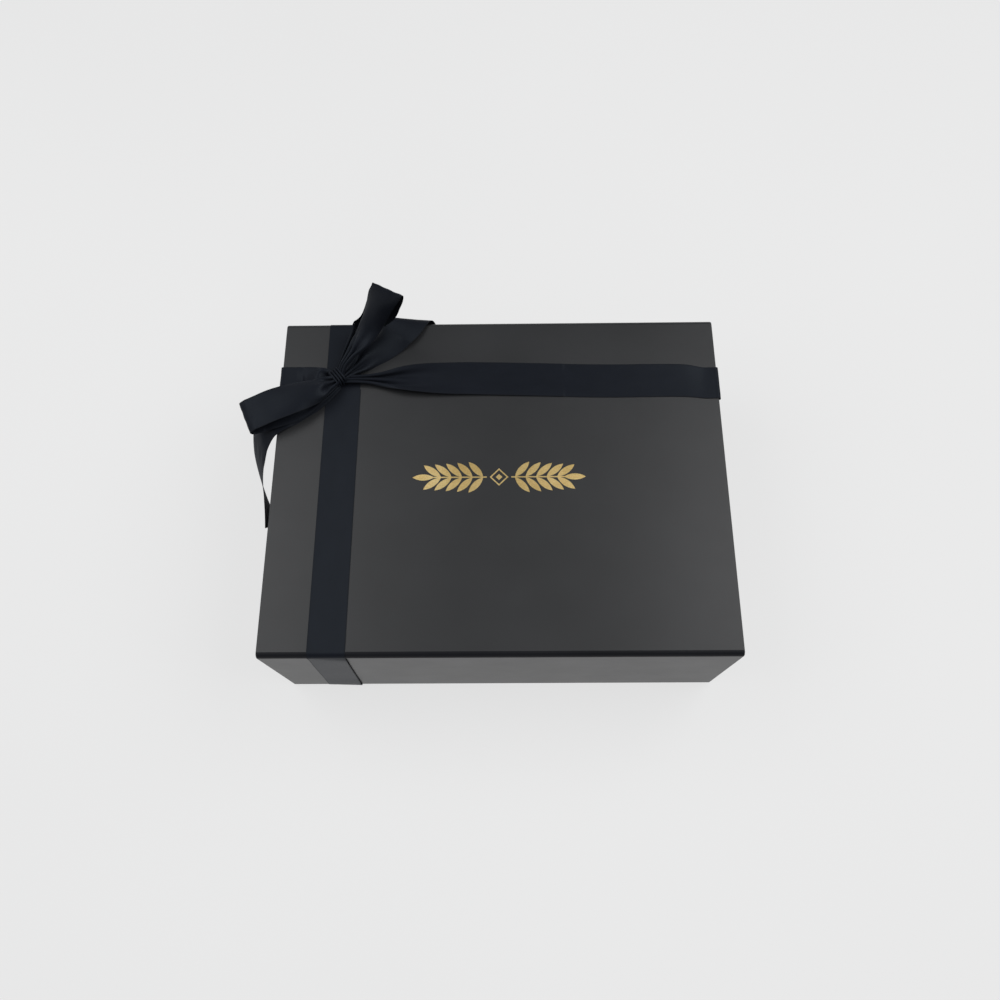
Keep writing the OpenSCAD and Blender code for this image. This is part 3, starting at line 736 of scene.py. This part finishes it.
lid_ribbon("ribbon_crosswise_right", crosswise_right(), "gathered", ["lid_wrap"], ["ribbon_lid_crosswise"],
           folds=2.5, phase=1.57, crumple=0.1, seed=7.7, rests=True)
lid_ribbon("ribbon_crosswise_left", crosswise_left(), "gathered", ["lid_wrap"],
           folds=2.0, phase=0.2, crumple=0.1, seed=2.2, rests=True)


def base_band():
    """Under the base from side to side."""
    slope = (RIGHT_SIDE_Y - SIDE_Y) / (2 * HALF_W)
    return [[x, SIDE_Y + slope * (x + HALF_W), BASE_Z - HALF_CLOTH, 0, 1, 0, RIBBON_W, 0, 0]
            for x in (-HALF_W + 0.5, -80, 0, 80, HALF_W - 0.5)]


def side_band(side, y):
    """Up one side of the box, from under the base to just below the lid."""
    out = HALF_W + HALF_CLOTH
    places = [(HALF_W - 1.0, BASE_Z - HALF_CLOTH), (out - 0.35, 0.45), (out, 1.4), (out, 35), (out, 75),
              (out, LID_UNDER - 0.8)]
    return [[side * x, y, z, 0, side, 0, RIBBON_W, 0, 0] for x, z in places]


under = ribbon("ribbon_under_base", base_band(), crumple=0.02, seed=3.4)
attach(under, "tray")
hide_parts("ribbon_base_crosswise")
for side, y, node in ((-1, SIDE_Y, "ribbon_left_side"), (1, RIGHT_SIDE_Y, "ribbon_right_side")):
    upright = ribbon(node + "_satin", side_band(side, y), crumple=0.05, seed=5.0 + side)
    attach(upright, "tray")
    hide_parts(node)


# ---- Bow: stations from the knot on the lid's top: x, y, z, across x, y, z, chord, arch, lean ----

# Over the top to the fold end, and back to the knot below. Up is the loop's outer side.
left_loop_stations = from_point(
    KNOT,
    (0, -2, 6.5, 4, -9, -1, 6, 0.35),
    (-4, -5.5, 9, 4, -10, -1.5, 10, 0.5, 0.3),
    (-9.9, -9.4, 11.5, 5.5, -15, -1.5, 15, 0.85, 0.4),
    (-14.4, -11.7, 12.8, 6.5, -18, -1, 18.5, 0.95, 0.4),
    (-21.7, -15, 13.9, 8, -21, -0.5, 21.5, 1, 0.2),
    (-28, -17.9, 14.5, 9, -22.5, 0, 23.3, 1),
    (-40, -23.1, 14.5, 10, -23, 0, 24.7, 0.6),
    (-52.8, -28.7, 13.5, 10.3, -23.5, 0, 24.9, 0.2),
    (-60, -31.8, 12, 10.3, -23.5, 0, 24.95),
    (-63.4, -33, 9.3, 10.3, -23.5, 0, 24.95),
    (-62, -32.5, 6, 10.3, -23.5, 0, 24.95),
    (-56, -30.2, 4.6, 10.3, -23.5, 0, 24.95),
    (-44, -25.5, 4.4, 10, -23, 0, 24.8, -0.4),
    (-30, -20.5, 4.6, 9, -22, 0, 22.5, -0.6),
    (-16, -13, 4.9, 7, -18, 0, 16.5, -0.65),
    (-7, -7, 5, 4.5, -11, 0, 10.5, -0.4),
    (0, -2, 5, 4, -9, 0, 6, -0.3),
)

# Up the layer that faces the front to the tip, and down behind it
right_loop_stations = from_point(
    KNOT,
    (1, 3, 7.2, -5, 4.5, 0, 5, 0.35),
    (3.2, 8, 10, -5.5, 4.7, -3, 6.5, 0.4, 0.2),
    (7.2, 13, 13, -6.5, 5.3, -4.5, 9, 0.5, 0.3),
    (12.6, 20, 16.2, -8.6, 7.5, -6, 12.5, 0.85, 0.4),
    (17.8, 26.5, 19.6, -11.6, 9, -7, 16.2, 1, 0.5),
    (22.4, 32, 25.4, -14, 11.2, -4, 18.8, 1, 0.4),
    (28, 35.5, 35.5, -16.5, 13, -4, 21.8, 1, 0.3),
    (34.8, 37.3, 49.8, -19.7, 14, -3.2, 24.4, 0.5),
    (38.6, 38, 56, -21, 14, -3.3, 24.9, 0.1),
    (40, 38.8, 58.3, -21.4, 14, -3.4, 24.95),
    (40.6, 40.2, 56.5, -21.8, 13, -3, 24.95),
    (39, 41.5, 48, -22.5, 12, -2, 24.95),
    (35, 42.5, 37, -23.2, 9, -0.6, 24.9, 0.3),
    (28, 43.2, 19, -24, 6, -1.5, 24, 0.8),
    (17.5, 39.5, 10, -15, 7, -0.7, 17, 0.7),
    (12, 31.5, 7.4, -10, 7, -2, 13, 0.6),
    (8.2, 24, 6.6, -8, 7, -2, 11, 0.5),
    (4.6, 15.5, 6.4, -6, 7, -1, 9, 0.4),
    (1.5, 8, 6.2, -4.5, 6, -1, 7, 0.35),
    (0, 2, 5.5, -4, 5, 0, 5),
)

# Along the lid, over its left edge at a slant, and down with half a twist
left_tail_stations = from_point(
    KNOT,
    (0, -3, 3.4, 5, -9, 0, 7, 0.35),
    (-5, -7.3, 3.2, 6, -11, 0, 10, 0.4),
    (-11.7, -11.8, 2.8, 7, -14, 0, 14, 0.5),
    (-28, -20, 2.2, 12, -21, 0, 22, 0.5),
) + from_point(
    LEFT_EDGE,
    (-0.5, -27.3, 1.6, 11, -22, 0, 25),
    (-6.5, -32, 0.2, 10, -21, 2, 25.5),
    (-11.5, -38.5, -3.5, 9.5, -22, -1, 25.5),
    (-14.5, -46, -10, 11, -20, 4.5, 25),
    (-16.2, -54, -18, 10.3, -15, 12, 25),
    (-16.3, -63, -27, 8.2, -12, 17, 25),
    (-15.2, -73, -36, 5.4, -11, 19.5, 25),
    (-13.5, -83, -44, 1.5, -10, 20, 25),
    (-12, -92, -52, -3, -9, 19, 25),
)

# Along the lid, over its back edge at a slant, and down behind
right_tail_stations = from_point(
    KNOT,
    (2, 1.5, 4.6, -5, 8, 0, 6, 0.35),
    (9, 8.8, 4.6, -6, 8, 1, 10, 0.6, 0.5),
    (18.5, 17, 4.4, -9, 12, 1, 15.5, 0.95, 0.9),
    (27.5, 24.8, 4.2, -12, 16, 1, 20, 1, 1),
    (36, 32.6, 4.4, -15.5, 17, 2, 23.3, 0.8, 1),
    (43, 40.8, 4.9, -22, 13, 2.5, 26.5, 0.3),
) + from_point(
    BACK_EDGE,
    (46.6, -1.8, 4.2, -30, 5, 3.5, 30),
    (48.3, 1.4, 2.6, -31, 2, 3.5, 31),
    (50, 2.9, -0.5, -31, 0, 3, 31),
    (52, 3.2, -6, -30, 0, 0, 30),
    (54.5, 3, -15, -28, 0, -2, 28),
    (57, 2.6, -25, -25.5, 0, -4, 26),
    (59.5, 2.6, -37, -24, 0, -5, 25),
)

lid_ribbon("left_loop", left_loop_stations, "folded", ["bow_wrap"], ["bow_left_loop"],
           folds=3.0, phase=0.5, crumple=0.15, seed=11.0)
lid_ribbon("right_loop", right_loop_stations, "folded", ["bow_wrap"], ["bow_right_loop"],
           folds=3.0, phase=0.9, crumple=0.12, seed=13.0)
lid_ribbon("left_tail", left_tail_stations, "hung", ["lid_wrap"], ["bow_left_tail"],
           folds=3.0, phase=0.2, crumple=0.12, seed=17.0)

right_tail = ribbon("right_tail", right_tail_stations, folds=3.0, phase=0.7, crumple=0.12, seed=19.0)
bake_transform(right_tail)
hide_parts("bow_right_tail", "bow_right_tail_end")


def knot_stations():
    """One turn of gathered ribbon, pulled tight round the bundle of loops and tails."""
    turn = math.radians(-52)
    run = np.array([math.cos(turn), math.sin(turn), 0])
    bundle = np.array([run[1], -run[0], 0])
    middle = KNOT + np.array([-1.2, 0.8, 4.9])
    half_l, half_h = 5.4, 4.3
    chord, arch = 8, 0.4
    stations = []
    for degrees in range(-100, 281, 20):
        a = math.radians(degrees)
        # A rounded box rather than an ellipse
        c = math.copysign(abs(math.cos(a)) ** 0.75, math.cos(a))
        s = math.copysign(abs(math.sin(a)) ** 0.8, math.sin(a))
        place = middle + run * half_l * c + np.array([0, 0, half_h]) * s
        stations.append([*place, *bundle, chord, arch, 0])
    return stations


lid_ribbon("bow_wrap", knot_stations(), "gathered", ["left_loop", "right_loop"], ["bow_knot"],
           folds=4.0, phase=0.3, crumple=0.06, seed=23.0)


# ---- Stage ----

def softbox(name, x, power):
    """A rectangular light beside the box, above it and turned to it; x and the sizes are in metres."""
    light = bpy.data.lights.new(name, "AREA")
    light.shape = "RECTANGLE"
    light.size, light.size_y = 1.2, 0.75
    light.energy = power
    place = Vector((x, 0.1, 1.08))
    aim = Vector((0, 0, 0.06))
    obj = bpy.data.objects.new(name, light)
    obj.location = place
    obj.rotation_euler = (aim - place).to_track_quat("-Z", "Y").to_euler()
    bpy.context.scene.collection.objects.link(obj)


def add_stage():
    half = 6.0
    corners = [(-half, -half, 0), (half, -half, 0), (half, half, 0), (-half, half, 0)]
    mesh = bpy.data.meshes.new("floor")
    mesh.from_pydata(corners, [], [(0, 1, 2, 3)])
    mesh.materials.append(floor_panel("floor"))
    floor = bpy.data.objects.new("floor", mesh)
    bpy.context.scene.collection.objects.link(floor)
    world = bpy.data.worlds.new("studio")
    world.use_nodes = True
    backdrop = world.node_tree.nodes["Background"]
    backdrop.inputs["Color"].default_value = (0.95, 0.97, 1.0, 1)
    backdrop.inputs["Strength"].default_value = 0.3
    bpy.context.scene.world = world
    softbox("left_softbox", -0.74, 8.4)
    softbox("right_softbox", 0.74, 10.8)


def add_camera():
    """The photo's own camera, worked out from the box's corners and rounded edges."""
    focal_px, frame_px, sensor = 868.3, 1000, 36.0
    data = bpy.data.cameras.new("camera")
    data.sensor_width = sensor
    data.lens = focal_px / frame_px * sensor
    data.clip_start, data.clip_end = 0.01, 50
    camera = bpy.data.objects.new("camera", data)
    camera.location = (0.0076, -0.2281, 0.6664)
    camera.rotation_euler = [math.radians(a) for a in (20.771, 0.769, -0.131)]
    bpy.context.scene.collection.objects.link(camera)
    bpy.context.scene.camera = camera


add_stage()
add_camera()
bpy.context.scene.view_settings.view_transform = "Standard"
